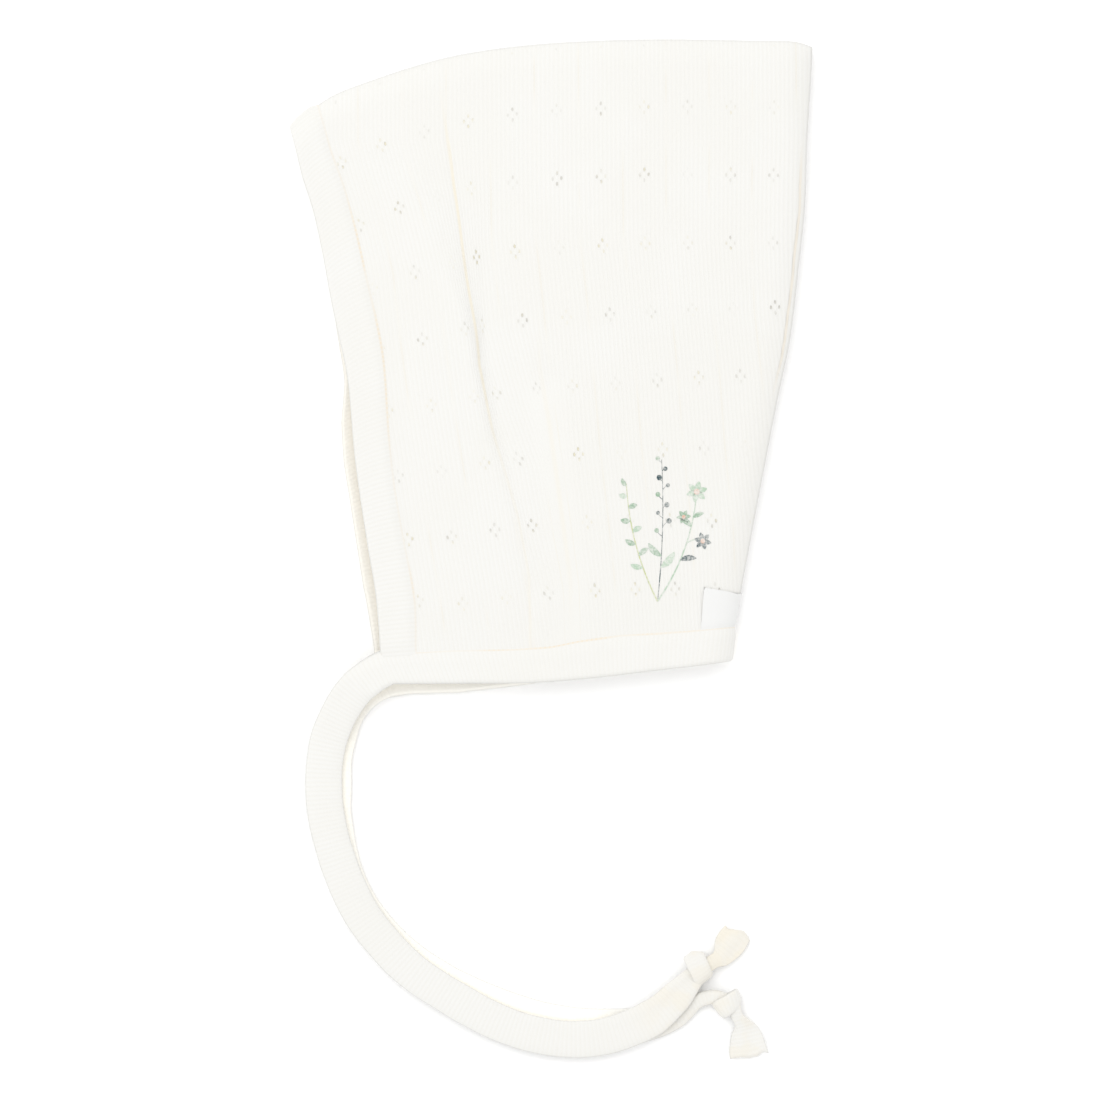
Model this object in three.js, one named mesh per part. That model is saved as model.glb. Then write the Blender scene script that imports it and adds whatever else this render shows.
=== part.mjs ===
// Pixie bonnet in pointelle rib cotton, lying on its side on a flat surface.
// Millimetres, +Z up off the surface, +X from the face opening to the back seam, +Y from the neck to the crown.
// The origin lies on the surface under the middle of the bonnet itself, without its ties.

import * as THREE from 'three';
import { mergeVertices } from 'three/addons/utils/BufferGeometryUtils.js';

// Driving sizes of the folded hood
const crownLength = 161.2;
const hoodHeight = 198.6;
const clothWall = 1.0;
const foldHeight = 4.8;
const farFoldRadius = 3.6;
const nearFoldRadius = 8.0;

// Bindings: a strip folded over the raw edge, with a slot that the cloth sits in
const bindingWidth = 11.6;
const bindingLeaf = 0.8;
const bindingFit = 0.3;
const clothInBinding = 6.2;
const bindingHalf = clothWall / 2 + bindingFit + bindingLeaf;
const liftLength = 12;

// How far the upper layer stands over the lower one
const mouthGap = 4.8;
const crestLoft = 2.0;
const creaseDepth = 2.4;
const creaseHalfWidth = 5.5;
const gatherDepth = 0.5;
const gatherLength = 34;
const gatherCount = 9;

// How far the lower layer shows past the upper one
const faceStep = 3.9;
const neckStep = 3.0;

// Ties, knots and tails
const tieWidth = 11.4;
const tieThickness = 2.2;
const nearTieSteps = 56;
const farTieSteps = 54;
const tailThickness = 1.8;

// Label folded over the back seam
const labelHeight = 12;
const labelReach = 11.5;
const labelThickness = 0.7;
const labelStart = 0.868;
const labelTilt = 0.17;

// Colours taken by eye
const ivory = 0xf6f3ea;
const ivoryShade = 0xf2eee3;
const white = 0xfbfaf6;

// Outlines of the folded hood's middle surface. Each row is [share of the crown length from the front corner,
// share of the hood height down from the top of the crown].
const crownOutline = [
  [0.004, 0.141], [0.023, 0.122], [0.052, 0.104], [0.09, 0.085], [0.154, 0.065], [0.231, 0.044],
  [0.308, 0.027], [0.385, 0.016], [0.5, 0.006], [0.692, 0.0], [0.885, 0.002], [0.972, 0.004], [1.0, 0.011],
];
const backOutline = [
  [1.0, 0.011], [0.997, 0.059], [0.99, 0.152], [0.985, 0.262], [0.973, 0.355], [0.957, 0.464],
  [0.933, 0.558], [0.903, 0.683], [0.874, 0.808], [0.848, 0.925], [0.84, 0.966],
];
const faceOutline = [
  [0.004, 0.141], [0.013, 0.171], [0.025, 0.212], [0.046, 0.266], [0.062, 0.324], [0.079, 0.399],
  [0.094, 0.457], [0.111, 0.522], [0.127, 0.657], [0.15, 0.785], [0.165, 0.858], [0.172, 0.917], [0.176, 0.955],
  [0.2, 1.001],
];
const neckOutline = [
  [0.2, 1.001], [0.338, 1.0], [0.462, 0.999], [0.577, 0.992], [0.692, 0.981], [0.788, 0.972], [0.84, 0.966],
];

// Rows of [share down the face edge, share of faceStep] and [share along the neck, share of neckStep]
const faceStepShares = [[0, 0], [0.33, 0], [0.48, 0.5], [0.62, 1], [0.86, 1], [1, 0.75]];
const neckStepShares = [[0, 1.15], [0.06, 1], [0.2, 1], [0.46, 0], [1, 0]];

// The long crease of the upper layer: rows of [share down, share from face to back, share of creaseDepth]
const creaseRows = [
  [0, 0.305, 0], [0.08, 0.303, 0.15], [0.2, 0.298, 0.8], [0.35, 0.302, 1], [0.49, 0.312, 1],
  [0.6, 0.339, 1], [0.74, 0.39, 0.5], [0.83, 0.418, 0.35], [1, 0.43, 0.25],
];

// The near tie, in mm from the origin: x, y, and the height of its middle
const nearTieRoute = [
  [-51.4, -92.5, 9.6], [-54.6, -93.8, 9.4], [-58.8, -96.4, 8.6], [-62.8, -101.0, 7.3], [-66.0, -107.2, 5.9],
  [-68.4, -114.2, 4.6], [-70.0, -122.2, 3.9], [-70.3, -130.9, 3.8], [-69.4, -140.0, 3.8], [-66.3, -152.0, 3.8],
  [-62.8, -161.1, 3.8], [-58.4, -169.6, 3.8], [-52.2, -177.8, 3.8], [-42.9, -187.0, 3.8], [-29.7, -195.7, 3.8],
  [-20.4, -200.8, 3.8], [-11.0, -204.8, 3.8], [0.1, -207.4, 3.8], [9.0, -207.9, 3.8], [17.1, -206.9, 3.8],
  [25.2, -204.2, 3.8], [32.4, -200.4, 3.8], [38.0, -195.4, 3.8], [41.6, -191.3, 3.7], [43.5, -188.9, 3.6],
];

// The far tie, lying on the surface under the near one
const farTieRoute = [
  [-54.8, -95.8, 1.6], [-57.4, -97.1, 1.5], [-60.6, -100.6, 1.3], [-63.4, -106.6, 1.2], [-65.4, -113.6, 1.2],
  [-66.8, -121.8, 1.2], [-67.4, -129.4, 1.2], [-67.3, -138.0, 1.2], [-65.4, -150.6, 1.2], [-61.6, -162.0, 1.2],
  [-55.4, -171.8, 1.2], [-45.8, -181.8, 1.2], [-30.4, -191.7, 1.2], [-13.2, -199.0, 1.2], [-1.6, -202.4, 1.2],
  [12.0, -204.2, 1.2], [24.0, -204.0, 1.2], [33.4, -202.4, 1.2], [40.6, -199.0, 1.2], [45.6, -196.4, 1.2],
  [50.6, -195.8, 1.2],
];

// Knots: middle, half sizes and turn in plan. Tails: where each runs in plan, its half width and its height
const nearKnot = { middle: [46.9, -184.6, 3.6], half: [5.2, 3.9, 3.4], turn: 0.35 };
const farKnot = { middle: [56.0, -197.6, 3.6], half: [4.6, 4.9, 3.4], turn: 0.2 };
const nearTail = { from: [51.6, -182.0], to: [58.2, -174.9], half: 4.6, lift: 1.6 };
const farTail = { from: [57.6, -202.2], to: [61.4, -213.6], half: 6.2, lift: 1.6 };

// Rows of [share of the tail's length, share of its half width]
const tailProfile = [[0, 0.42], [0.3, 0.74], [0.6, 0.93], [0.85, 1], [1, 0.94]];

// Reads a table of rows with a straight line between rows
function readTable(rows, share, column) {
  for (let i = 1; i < rows.length; i += 1) {
    if (share <= rows[i][0]) {
      const part = (share - rows[i - 1][0]) / (rows[i][0] - rows[i - 1][0]);
      return THREE.MathUtils.lerp(rows[i - 1][column], rows[i][column], Math.max(part, 0));
    }
  }
  return rows[rows.length - 1][column];
}

function outlineCurve(rows) {
  const points = rows.map(([x, y]) => new THREE.Vector3((x - 0.5) * crownLength, (0.5 - y) * hoodHeight, 0));
  const curve = new THREE.CatmullRomCurve3(points, false, 'centripetal');
  curve.arcLengthDivisions = 400;
  return curve;
}

const crownCurve = outlineCurve(crownOutline);
const backCurve = outlineCurve(backOutline);
const faceCurve = outlineCurve(faceOutline);
const neckCurve = outlineCurve(neckOutline);
const corners = {
  crownFront: crownCurve.getPointAt(0),
  crownBack: crownCurve.getPointAt(1),
  neckFront: neckCurve.getPointAt(0),
  neckBack: neckCurve.getPointAt(1),
};

// The hood's bounding middle, so that the origin lies under it
const outlineMiddle = new THREE.Box3()
  .setFromPoints([crownCurve, backCurve, faceCurve, neckCurve].flatMap((curve) => curve.getSpacedPoints(120)))
  .getCenter(new THREE.Vector3());
const bodyShift = new THREE.Vector3(-outlineMiddle.x, -outlineMiddle.y + neckStep / 2, 0);

const along = (curve, share) => curve.getPointAt(Math.min(Math.max(share, 0), 1));

// A point of the folded outline: u runs from the face edge to the back, v from the crown to the neck
function planPoint(side, u, v) {
  const top = along(crownCurve, u);
  const bottom = along(neckCurve, u);
  const left = along(faceCurve, v);
  const right = along(backCurve, v);
  const x = THREE.MathUtils.lerp(top.x, bottom.x, v) + THREE.MathUtils.lerp(left.x, right.x, u)
    - THREE.MathUtils.lerp(
      THREE.MathUtils.lerp(corners.crownFront.x, corners.crownBack.x, u),
      THREE.MathUtils.lerp(corners.neckFront.x, corners.neckBack.x, u), v);
  const y = THREE.MathUtils.lerp(top.y, bottom.y, v) + THREE.MathUtils.lerp(left.y, right.y, u)
    - THREE.MathUtils.lerp(
      THREE.MathUtils.lerp(corners.crownFront.y, corners.crownBack.y, u),
      THREE.MathUtils.lerp(corners.neckFront.y, corners.neckBack.y, u), v);
  const stepX = side === 'far' ? faceStep * readTable(faceStepShares, v, 1) * (1 - u) : 0;
  const stepY = side === 'far' ? neckStep * readTable(neckStepShares, u, 1) * v ** 2 : 0;
  return new THREE.Vector3(x - stepX, y - stepY, 0).add(bodyShift);
}

const rowWidth = (v) => along(faceCurve, v).distanceTo(along(backCurve, v));
const columnHeight = (u) => along(crownCurve, u).distanceTo(along(neckCurve, u));

// Rise of a rounded fold: 0 at the fold's edge, 1 once the cloth lies away from it
function foldRise(run, radius) {
  const part = Math.min(Math.max(run / radius, 0), 1);
  return Math.sqrt(1 - (1 - part) ** 2);
}

function smooth(part) {
  const t = Math.min(Math.max(part, 0), 1);
  return t * t * (3 - 2 * t);
}

// Height of the lower layer's middle surface: it lies on the ground and lifts into the bindings
function farHeight(u, v) {
  const fromFace = u * rowWidth(v);
  const fromNeck = (1 - v) * columnHeight(u);
  const nearest = Math.min(fromFace, fromNeck);
  const lift = 1 - smooth((nearest - bindingWidth) / liftLength);
  return clothWall / 2 + (bindingHalf - clothWall / 2) * lift;
}

// Height of the upper layer's middle surface, with its loft, crease and gathers
function nearHeight(u, v) {
  const base = 3 * bindingHalf + mouthGap;
  const fromFace = u * rowWidth(v);
  const fromNeck = (1 - v) * columnHeight(u);
  const clear = smooth((Math.min(fromFace, fromNeck) - bindingWidth) / liftLength);
  const loft = crestLoft * Math.sin(Math.PI * u) * Math.sin(Math.PI * Math.min(v * 1.05, 1)) * clear;
  const fromCrease = Math.abs(u - readTable(creaseRows, v, 1)) * rowWidth(v) / creaseHalfWidth;
  const crease = creaseDepth * readTable(creaseRows, v, 2) * (1 - smooth(fromCrease)) * clear;
  const gatherFade = clear * (1 - smooth((fromNeck - bindingWidth) / gatherLength));
  const gathers = gatherDepth * gatherFade * Math.sin(2 * Math.PI * gatherCount * u);
  return base + loft - crease + gathers;
}

// A point of the cloth's middle surface
function surfacePoint(side, u, v) {
  const radius = side === 'far' ? farFoldRadius : nearFoldRadius;
  const rise = foldRise((1 - u) * rowWidth(v), radius) * foldRise(v * columnHeight(u), radius);
  const height = side === 'far' ? farHeight(u, v) : nearHeight(u, v);
  const point = planPoint(side, u, v);
  point.z = THREE.MathUtils.lerp(foldHeight, height, rise);
  return point;
}

// Distances from a fold's edge, close together round the fold and then even
function foldRuns(radius, length, roundSteps, evenSteps) {
  const runs = [];
  for (let i = 0; i < roundSteps; i += 1) {
    runs.push(radius * (1 - Math.cos((i / roundSteps) * Math.PI / 2)));
  }
  for (let i = 0; i <= evenSteps; i += 1) {
    runs.push(THREE.MathUtils.lerp(radius, length, i / evenSteps));
  }
  return runs;
}

const foldSteps = 4;
const hoodColumns = 30;
const hoodRows = 21;
const creaseColumn = 0.33;

// Moves the columns so that one of them follows the crease
function followCrease(u, v) {
  const target = readTable(creaseRows, v, 1);
  return u < creaseColumn ? (u / creaseColumn) * target
    : target + ((u - creaseColumn) / (1 - creaseColumn)) * (1 - target);
}

// One layer of the hood as a grid of points: row 0 lies on the crown fold, column 0 on the back seam
function hoodGrid(side) {
  const radius = side === 'far' ? farFoldRadius : nearFoldRadius;
  const rows = foldRuns(radius, 1, foldSteps, hoodRows).length;
  const grid = [];
  for (let r = 0; r < rows; r += 1) {
    const row = [];
    const vNominal = r / (rows - 1);
    const width = rowWidth(vNominal);
    const columns = foldRuns(radius, width - clothInBinding, foldSteps, hoodColumns);
    columns.forEach((run, c) => {
      const uStraight = 1 - run / width;
      const bend = c < foldSteps ? 0 : smooth(Math.min((c - foldSteps) / 3, 1));
      const u = THREE.MathUtils.lerp(uStraight, followCrease(uStraight, vNominal), bend * (c < columns.length - 1 ? 1 : 0));
      const height = columnHeight(u);
      const runDown = foldRuns(radius, height - clothInBinding, foldSteps, hoodRows)[r];
      row.push(surfacePoint(side, u, runDown / height));
    });
    grid.push(row);
  }
  return grid;
}

// A closed solid from an open sheet: the sheet's points moved half a wall each way, and a rim round its edges
function thicken(points, triangles, wall) {
  const normals = points.map(() => new THREE.Vector3());
  const edges = new Map();
  for (const [a, b, c] of triangles) {
    const normal = new THREE.Vector3().subVectors(points[b], points[a])
      .cross(new THREE.Vector3().subVectors(points[c], points[a])).normalize();
    for (const i of [a, b, c]) {
      normals[i].add(normal);
    }
    for (const [i, j] of [[a, b], [b, c], [c, a]]) {
      edges.set(`${i},${j}`, [i, j]);
    }
  }
  normals.forEach((normal) => normal.normalize());
  const positions = [];
  for (const way of [1, -1]) {
    points.forEach((point, i) => {
      positions.push(...point.clone().addScaledVector(normals[i], way * wall / 2).toArray());
    });
  }
  const count = points.length;
  const index = [];
  for (const [a, b, c] of triangles) {
    index.push(a, b, c, a + count, c + count, b + count);
  }
  for (const [i, j] of edges.values()) {
    if (!edges.has(`${j},${i}`)) {
      index.push(j, i, i + count, j, i + count, j + count);
    }
  }
  return solidGeometry(positions, index);
}

function solidGeometry(positions, index) {
  const geometry = new THREE.BufferGeometry();
  geometry.setAttribute('position', new THREE.Float32BufferAttribute(positions, 3));
  geometry.setIndex(index);
  geometry.computeVertexNormals();
  return geometry;
}

// Both layers share the points of the crown fold and of the back seam
function hoodGeometry() {
  const points = [];
  const triangles = [];
  const near = hoodGrid('near');
  const far = hoodGrid('far');
  const rows = near.length;
  const columns = near[0].length;
  const nearIndex = near.map((row) => row.map((point) => points.push(point) - 1));
  const farIndex = far.map((row, r) => row.map((point, c) => {
    if (r === 0 || c === 0) {
      return nearIndex[r][c];
    }
    return points.push(point) - 1;
  }));
  for (let r = 0; r < rows - 1; r += 1) {
    for (let c = 0; c < columns - 1; c += 1) {
      const [a, b, d, e] = [nearIndex[r][c], nearIndex[r][c + 1], nearIndex[r + 1][c + 1], nearIndex[r + 1][c]];
      triangles.push([a, b, d], [a, d, e]);
      const [f, g, h, k] = [farIndex[r][c], farIndex[r][c + 1], farIndex[r + 1][c + 1], farIndex[r + 1][c]];
      triangles.push([f, h, g], [f, k, h]);
    }
  }
  return thicken(points, triangles, clothWall);
}

// The binding's section: rows of [distance in from the binding's outer edge, offset from the middle surface].
// It starts at the upper lip, goes round outside, and comes back through the slot that holds the cloth.
function bindingSection() {
  const slotHalf = clothWall / 2 + bindingFit;
  const slotEnd = clothInBinding - bindingFit;
  const section = [[bindingWidth, bindingHalf]];
  const bends = 4;
  for (let i = 0; i <= bends; i += 1) {
    const angle = (i / bends) * Math.PI;
    section.push([bindingHalf * (1 - Math.sin(angle)), bindingHalf * Math.cos(angle)]);
  }
  section.push([bindingWidth, -bindingHalf], [bindingWidth, -slotHalf], [slotEnd, -slotHalf]);
  section.push([slotEnd, slotHalf], [bindingWidth, slotHalf]);
  return section;
}

// Sweeps a section, listed anticlockwise, along stations; place(station, across, offset) gives each point
function sweepSection(section, stations, place) {
  const positions = [];
  const index = [];
  const count = section.length;
  for (const station of stations) {
    for (const [across, offset] of section) {
      positions.push(...place(station, across, offset).toArray());
    }
  }
  for (let s = 0; s < stations.length - 1; s += 1) {
    for (let i = 0; i < count; i += 1) {
      const j = (i + 1) % count;
      const [a, b] = [s * count + i, s * count + j];
      index.push(a, b, b + count, a, b + count, a + count);
    }
  }
  const flat = section.map(([across, offset]) => new THREE.Vector2(across, offset));
  const last = (stations.length - 1) * count;
  for (const [a, b, c] of THREE.ShapeUtils.triangulateShape(flat, [])) {
    index.push(a, c, b, last + a, last + b, last + c);
  }
  return solidGeometry(positions, index);
}

// Turns every face of a closed solid outwards
function facingOut(geometry) {
  const position = geometry.getAttribute('position');
  const index = geometry.getIndex();
  const [a, b, c] = [new THREE.Vector3(), new THREE.Vector3(), new THREE.Vector3()];
  let volume = 0;
  for (let i = 0; i < index.count; i += 3) {
    a.fromBufferAttribute(position, index.getX(i));
    b.fromBufferAttribute(position, index.getX(i + 1));
    c.fromBufferAttribute(position, index.getX(i + 2));
    volume += a.dot(b.cross(c));
  }
  if (volume < 0) {
    for (let i = 0; i < index.count; i += 3) {
      const second = index.getX(i + 1);
      index.setX(i + 1, index.getX(i + 2));
      index.setX(i + 2, second);
    }
    geometry.computeVertexNormals();
  }
  return geometry;
}

// Stations run along a binding: below 0 on the near layer, 0 on the fold, above 0 on the far layer.
// Each station is the arc length from the fold.
function foldRun(station) {
  const radius = station < 0 ? nearFoldRadius : farFoldRadius;
  const length = Math.abs(station);
  const quarter = radius * Math.PI / 2;
  return length < quarter ? radius * (1 - Math.cos(length / radius)) : radius + length - quarter;
}

function bindingStations(nearLength, farLength, evenSteps) {
  const stations = [];
  const nearQuarter = nearFoldRadius * Math.PI / 2;
  const farQuarter = farFoldRadius * Math.PI / 2;
  for (let i = 0; i <= evenSteps; i += 1) {
    stations.push(-THREE.MathUtils.lerp(nearLength, nearQuarter, i / evenSteps));
  }
  for (let i = foldSteps - 1; i >= 1; i -= 1) {
    stations.push(-nearQuarter * i / foldSteps);
  }
  for (let i = 0; i < foldSteps; i += 1) {
    stations.push(farQuarter * i / foldSteps);
  }
  for (let i = 0; i <= evenSteps; i += 1) {
    stations.push(THREE.MathUtils.lerp(farQuarter, farLength, i / evenSteps));
  }
  return stations;
}

// Places a point off the surface that pointAt(station, across) describes
function offSurface(pointAt, station, across, offset) {
  const small = 0.15;
  const along = pointAt(station + small, across).sub(pointAt(station - small, across));
  const inward = pointAt(station, across + small).sub(pointAt(station, across));
  const normal = along.cross(inward).normalize();
  return pointAt(station, across).addScaledVector(normal, offset);
}

const faceBandPoint = (station, across) => {
  const v = foldRun(station) / columnHeight(0);
  return surfacePoint(station < 0 ? 'near' : 'far', across / rowWidth(v), v);
};

const neckBandPoint = (station, across) => {
  const u = 1 - foldRun(station) / rowWidth(1);
  return surfacePoint(station < 0 ? 'near' : 'far', u, 1 - across / columnHeight(u));
};

function frontBandGeometry() {
  const nearQuarter = nearFoldRadius * Math.PI / 2;
  const farQuarter = farFoldRadius * Math.PI / 2;
  const run = columnHeight(0) - bindingWidth - bindingFit;
  const stations = bindingStations(run - nearFoldRadius + nearQuarter, run - farFoldRadius + farQuarter, 22);
  const place = (station, across, offset) => offSurface(faceBandPoint, station, across, offset);
  return facingOut(sweepSection(bindingSection(), stations, place));
}

function neckBandGeometry() {
  const nearQuarter = nearFoldRadius * Math.PI / 2;
  const farQuarter = farFoldRadius * Math.PI / 2;
  const run = rowWidth(1);
  const stations = bindingStations(run - nearFoldRadius + nearQuarter, run - farFoldRadius + farQuarter, 20);
  const place = (station, across, offset) => offSurface(neckBandPoint, station, across, -offset);
  return facingOut(sweepSection(bindingSection(), stations, place));
}

// A flat band along a route, its width level all the way
function tieGeometry(route, steps) {
  const curve = new THREE.CatmullRomCurve3(route.map((row) => new THREE.Vector3(...row)), false, 'centripetal');
  const bevel = tieThickness * 0.35;
  const [w, t] = [tieWidth / 2, tieThickness / 2];
  const section = [
    [-w, -t + bevel], [-w + bevel, -t], [w - bevel, -t], [w, -t + bevel],
    [w, t - bevel], [w - bevel, t], [-w + bevel, t], [-w, t - bevel],
  ];
  const stations = Array.from({ length: steps + 1 }, (_, i) => i / steps);
  const place = (station, across, offset) => {
    const ahead = curve.getTangentAt(station);
    const side = new THREE.Vector3(-ahead.y, ahead.x, 0).normalize();
    const up = new THREE.Vector3().crossVectors(ahead, side).normalize();
    return curve.getPointAt(station).addScaledVector(side, across).addScaledVector(up, offset);
  };
  return facingOut(sweepSection(section, stations, place));
}

// A knot: a rounded lump with two wraps that show as grooves
function knotGeometry(knot) {
  const geometry = new THREE.SphereGeometry(1, 16, 8);
  geometry.deleteAttribute('normal');
  geometry.deleteAttribute('uv');
  const merged = mergeVertices(geometry, 1e-4);
  const position = merged.getAttribute('position');
  for (let i = 0; i < position.count; i += 1) {
    const groove = 1 - 0.1 * Math.cos(5 * position.getX(i)) ** 6;
    position.setXYZ(i, position.getX(i) * knot.half[0], position.getY(i) * knot.half[1] * groove,
      position.getZ(i) * knot.half[2] * groove);
  }
  merged.rotateZ(knot.turn);
  merged.translate(...knot.middle);
  merged.computeVertexNormals();
  return facingOut(merged);
}

// A flared tail lying on the surface, with a notched end
function tailGeometry(tail) {
  const from = new THREE.Vector2(...tail.from);
  const to = new THREE.Vector2(...tail.to);
  const run = new THREE.Vector2().subVectors(to, from);
  const side = new THREE.Vector2(-run.y, run.x).normalize();
  const edge = ([share, width], way) => from.clone()
    .addScaledVector(run, share).addScaledVector(side, way * width * tail.half);
  const outline = [
    ...tailProfile.map((row) => edge(row, 1)),
    edge([0.95, 0.3], 1),
    edge([1.02, 0.05], 1),
    ...tailProfile.slice().reverse().map((row) => edge(row, -1)),
  ];
  const geometry = new THREE.ExtrudeGeometry(new THREE.Shape(outline), { depth: tailThickness, bevelEnabled: false });
  geometry.translate(0, 0, tail.lift);
  geometry.deleteAttribute('normal');
  geometry.deleteAttribute('uv');
  return facingOut(mergeVertices(geometry, 1e-4));
}

// The label: a folded strip on the near layer that goes over the back seam's fold
function labelGeometry() {
  const inner = clothWall / 2 + bindingFit;
  const outer = inner + labelThickness;
  const section = [[0, inner], [labelHeight, inner], [labelHeight, outer], [0, outer]];
  const quarter = farFoldRadius * Math.PI / 2;
  const stations = [];
  const steps = 12;
  for (let i = 0; i <= steps; i += 1) {
    stations.push(THREE.MathUtils.lerp(-labelReach - nearFoldRadius * (Math.PI / 2 - 1), quarter * 0.45, i / steps));
  }
  const pointAt = (station, across) => {
    const run = foldRun(station);
    const v = labelStart + (across + run * labelTilt * -1) / hoodHeight;
    return surfacePoint(station < 0 ? 'near' : 'far', 1 - run / rowWidth(v), v);
  };
  return facingOut(sweepSection(section, stations, (s, a, o) => offSurface(pointAt, s, a, -o)));
}

function piece(name, geometry, color, roughness = 0.95) {
  const mesh = new THREE.Mesh(geometry, new THREE.MeshStandardMaterial({ color, roughness, metalness: 0 }));
  mesh.name = name;
  return mesh;
}

const group = new THREE.Group();
group.add(piece('hood', hoodGeometry(), ivory));
group.add(piece('front_band', frontBandGeometry(), ivoryShade));
group.add(piece('neck_band', neckBandGeometry(), ivoryShade));
group.add(piece('near_tie', tieGeometry(nearTieRoute, nearTieSteps), ivoryShade));
group.add(piece('far_tie', tieGeometry(farTieRoute, farTieSteps), ivoryShade));
group.add(piece('near_knot', knotGeometry(nearKnot), ivoryShade));
group.add(piece('far_knot', knotGeometry(farKnot), ivoryShade));
group.add(piece('near_tail', tailGeometry(nearTail), ivory));
group.add(piece('far_tail', tailGeometry(farTail), ivory));
group.add(piece('label', labelGeometry(), white, 0.8));

export default group;
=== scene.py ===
"""A baby's pixie bonnet in ivory pointelle rib, lying on its side with its two knotted ties."""
import math

import bmesh
import bpy
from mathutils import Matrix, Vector, noise
from mathutils.bvhtree import BVHTree


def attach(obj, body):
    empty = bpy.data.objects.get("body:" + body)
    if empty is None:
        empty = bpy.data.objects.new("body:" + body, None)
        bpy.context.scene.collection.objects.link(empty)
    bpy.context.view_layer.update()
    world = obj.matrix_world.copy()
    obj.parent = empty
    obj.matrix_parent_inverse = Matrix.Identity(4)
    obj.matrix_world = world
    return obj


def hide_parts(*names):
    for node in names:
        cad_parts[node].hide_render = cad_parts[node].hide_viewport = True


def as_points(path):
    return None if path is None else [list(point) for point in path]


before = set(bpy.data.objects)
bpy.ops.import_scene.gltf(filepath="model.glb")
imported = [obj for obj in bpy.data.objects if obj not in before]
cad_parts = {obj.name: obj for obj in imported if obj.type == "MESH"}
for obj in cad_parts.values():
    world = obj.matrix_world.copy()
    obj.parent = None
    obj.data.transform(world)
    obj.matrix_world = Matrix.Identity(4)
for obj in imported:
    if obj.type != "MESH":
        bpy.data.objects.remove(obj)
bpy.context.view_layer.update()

MM = 0.001
QUARTER = math.pi / 2

# Sizes of the folded hood, in millimetres
CROWN_LENGTH = 161.2
HOOD_HEIGHT = 198.6
CLOTH = 1.0
FOLD_HEIGHT = 4.8
FOLD_RADIUS = {"near": 8.0, "far": 3.6}
BINDING_WIDTH = 11.6
BINDING_HALF = 1.6
CLOTH_IN_BINDING = 6.2
EDGE_IN_SEAM = 1.0
SEAM_SHARE = 0.89
LIFT_LENGTH = 12.0
MOUTH_GAP = 4.8
CREST_LOFT = 2.0
CREASE_DEPTH = 0.85
CREASE_HALF_WIDTH = 2.6
PLEAT_DEPTH = 0.08
PLEAT_HALF_WIDTH = 3.4
PLEAT_SPREAD = 5.0
GATHER_DEPTH = 0.13
GATHER_LENGTH = 34.0
GATHER_COUNT = 9
FACE_STEP = 3.9
NECK_STEP = 3.0
TIE_WIDTH = 11.4
TIE_THICKNESS = 2.3
STEP = 0.31
RIB_PITCH = 1.36

# Repeats of the knit, in millimetres
COLUMN_PITCH = 13.64
FIRST_COLUMN = 69.97
RIBS_PER_COLUMN = 10
ROW_PITCH = 20.9
COURSES_PER_ROW = 23
FIRST_COLUMN_WIDTH = 14
BACK_PART = 15.0

# The label: share down the back seam of its top, size in millimetres, and the side that faces outwards
LABEL_TOP = 0.888
LABEL_HEIGHT = 12.2
LABEL_REACH = 14.6
LABEL_FLIP = -1

# Outlines as (share of the crown length from the front corner, share of the hood height from the crown down)
CROWN_OUTLINE = [
    (0.004, 0.141), (0.023, 0.122), (0.052, 0.104), (0.09, 0.085), (0.154, 0.065), (0.231, 0.044),
    (0.308, 0.027), (0.385, 0.016), (0.5, 0.006), (0.692, 0.0), (0.885, 0.002), (0.972, 0.004),
    (1.0, 0.011),
]
BACK_OUTLINE = [
    (1.0, 0.011), (0.997, 0.059), (0.99, 0.152), (0.985, 0.262), (0.973, 0.355), (0.957, 0.464),
    (0.933, 0.558), (0.903, 0.683), (0.874, 0.808), (0.848, 0.925), (0.84, 0.966),
]
FACE_OUTLINE = [
    (0.004, 0.141), (0.013, 0.171), (0.025, 0.212), (0.046, 0.266), (0.062, 0.324), (0.079, 0.399),
    (0.094, 0.457), (0.111, 0.522), (0.127, 0.657), (0.15, 0.785), (0.165, 0.858), (0.172, 0.917),
    (0.176, 0.955), (0.2, 1.001),
]
NECK_OUTLINE = [
    (0.2, 1.001), (0.338, 1.0), (0.462, 0.999), (0.577, 0.992), (0.692, 0.981), (0.788, 0.972), (0.84, 0.966),
]
FACE_STEP_SHARES = [
    (0, 0), (0.33, 0), (0.45, 0.3), (0.52, 0.86), (0.59, 0.94), (0.655, 0.84), (0.76, 0.81),
    (0.807, 0.84), (0.855, 0.71), (0.9, 0.53), (0.95, 0.4), (1, 0.3),
]
NECK_STEP_SHARES = [(0, 1.4), (0.06, 1.1), (0.2, 1), (0.46, 0), (1, 0)]

# The long crease: share down, share from face to back, share of its depth
CREASE = [
    (0, 0.305, 0), (0.08, 0.303, 0.15), (0.2, 0.298, 0.8), (0.35, 0.302, 1), (0.49, 0.312, 1),
    (0.6, 0.342, 1), (0.68, 0.375, 0.6), (0.74, 0.398, 0.5), (0.83, 0.42, 0.35), (1, 0.43, 0.25),
]
# The short pleat behind it, in the same columns
PLEAT = [
    (0, 0.44, 0), (0.5, 0.447, 0), (0.6, 0.475, 0.7), (0.72, 0.502, 1), (0.85, 0.531, 1), (1, 0.54, 0.8),
]
# The front binding's width: share down the face, width in millimetres
FRONT_WIDTHS = [
    (0, 11.6), (0.1, 12.3), (0.196, 13.1), (0.275, 13.8), (0.372, 14.2), (0.464, 13.5), (0.566, 12.7),
    (0.667, 12.1), (0.776, 12.4), (0.865, 12.7), (0.936, 11.6), (1, 11.6),
]
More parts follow.
